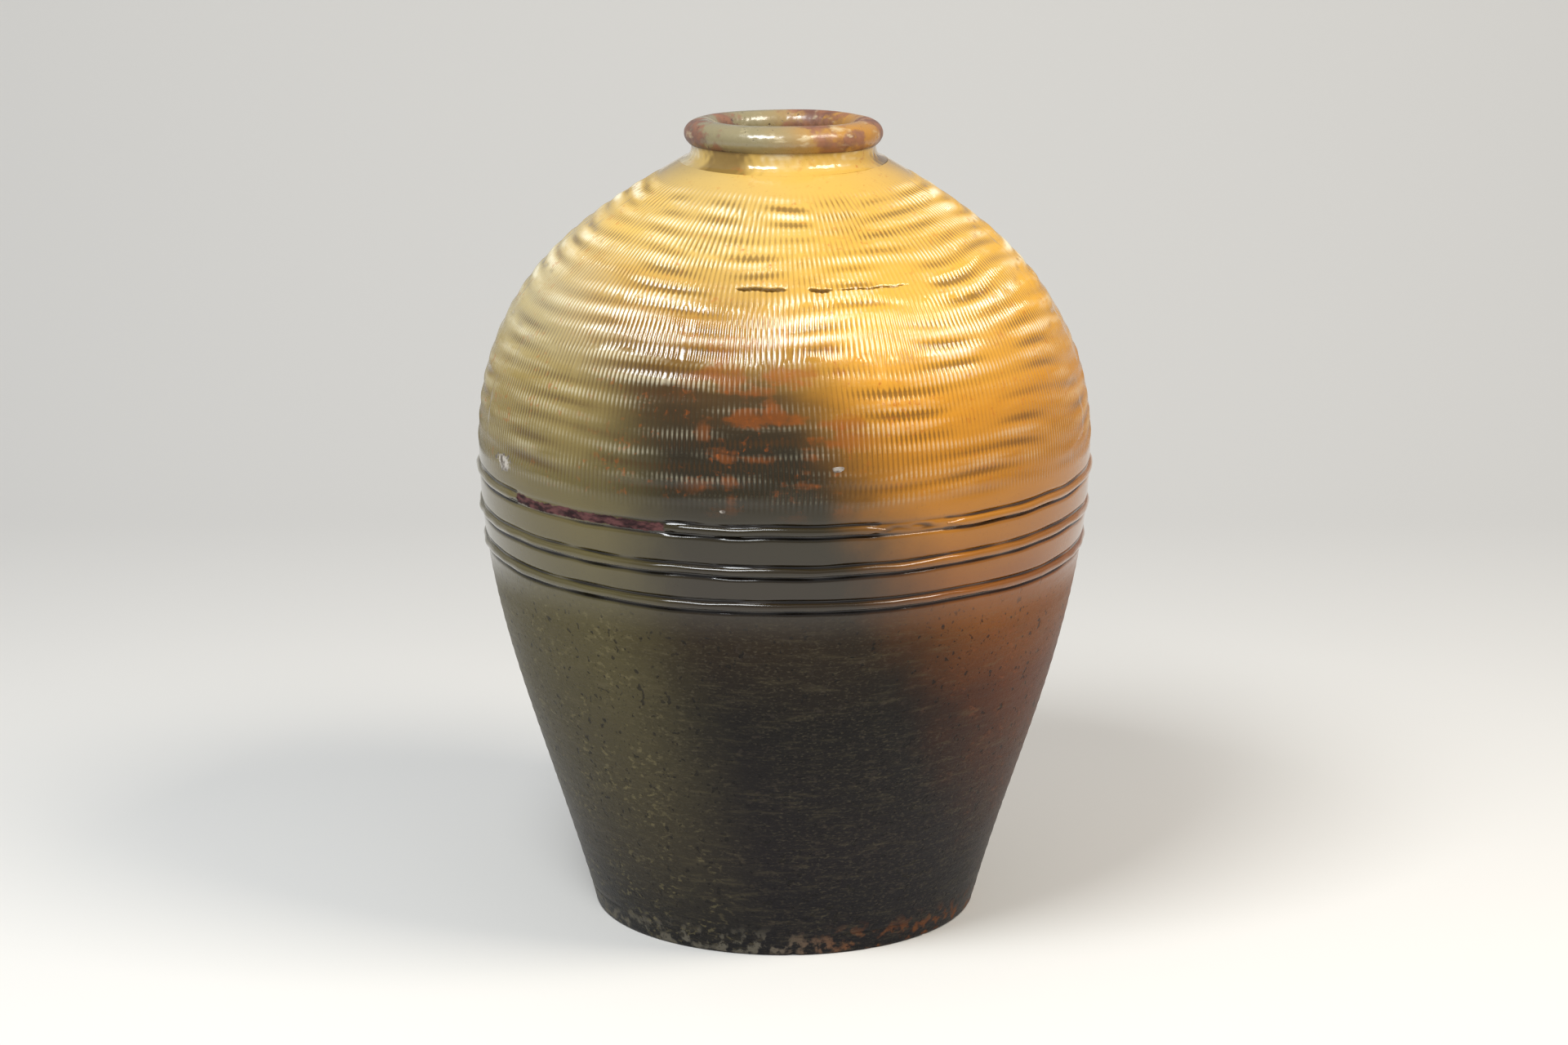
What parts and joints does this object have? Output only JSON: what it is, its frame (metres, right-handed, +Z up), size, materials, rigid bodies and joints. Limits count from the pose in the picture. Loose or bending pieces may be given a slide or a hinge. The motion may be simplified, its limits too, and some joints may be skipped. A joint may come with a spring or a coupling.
{
  "type": "jar",
  "caption": "Tall stoneware storage jar with a narrow foot, high wide belly, rounded shoulder, short neck, rolled lip and raised strips round the belly.",
  "frame": {"origin": "centre of the flat underside, on the surface that the jar stands on", "axes": "+Z up along the jar's axis; -Y is the front, which the picture shows; +X is to the right from the front"},
  "size_m": [0.3614, 0.3614, 0.47],
  "materials": {
    "bare_clay": "matt, gritty fired stoneware",
    "lower_glaze": "dark brown glaze, satin and pitted",
    "upper_glaze": "glossy olive to amber glaze over a ribbed wall",
    "rim_glaze": "glossy glaze worn thin on the crest",
    "cordon_glaze": "glossy olive to amber glaze, chipped"
  },
  "bodies": {
    "root": {"base_slab": "bare_clay", "lower_wall": "lower_glaze", "belly_wall": "upper_glaze", "shoulder_wall": "upper_glaze", "neck_collar": "upper_glaze", "rolled_rim": "rim_glaze", "cordon_upper_front": "cordon_glaze", "cordon_upper_rear": "cordon_glaze", "cordon_middle": "cordon_glaze", "cordon_lower": "cordon_glaze"}
  },
  "joints": []
}
